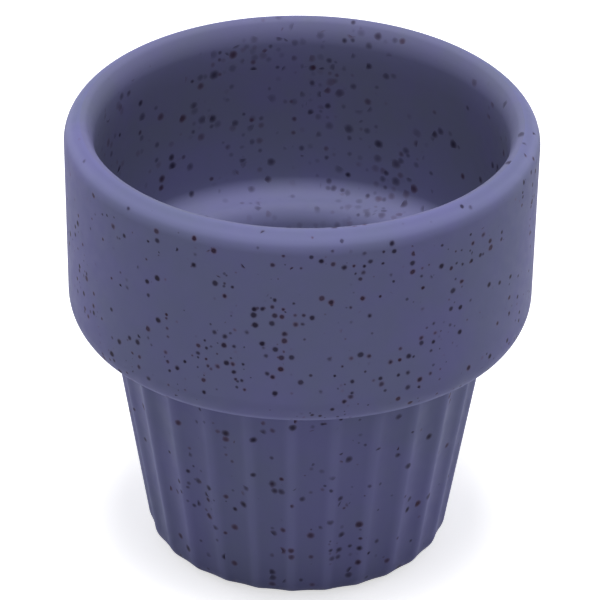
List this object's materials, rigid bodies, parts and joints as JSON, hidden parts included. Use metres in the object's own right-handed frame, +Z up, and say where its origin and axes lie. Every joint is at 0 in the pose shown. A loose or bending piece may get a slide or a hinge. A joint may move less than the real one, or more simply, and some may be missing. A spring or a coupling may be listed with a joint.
{
  "type": "stackable ceramic cup",
  "caption": "Stackable stoneware cup: a wide smooth collar with a rounded lip over a narrower fluted base, whose shoulder rests on the lip of the cup below.",
  "frame": {"origin": "centre of the foot ring's resting face, on the cup's axis", "axes": "+Z up along the cup's axis, from the foot to the mouth; a rib of the fluted base faces -Y, the front"},
  "size_m": [0.08, 0.08, 0.0788],
  "materials": {
    "stoneware": "bare fired stoneware, matt, fine grain with dark iron specks",
    "glaze": "satin blue-violet glaze with brown-black iron speckles, thinner and lighter where it breaks over the lip, the ribs and the edges"
  },
  "bodies": {
    "root": {"stoneware_body": "stoneware", "outer_glaze": "glaze", "inner_glaze": "glaze", "foot_glaze": "glaze"}
  },
  "joints": []
}
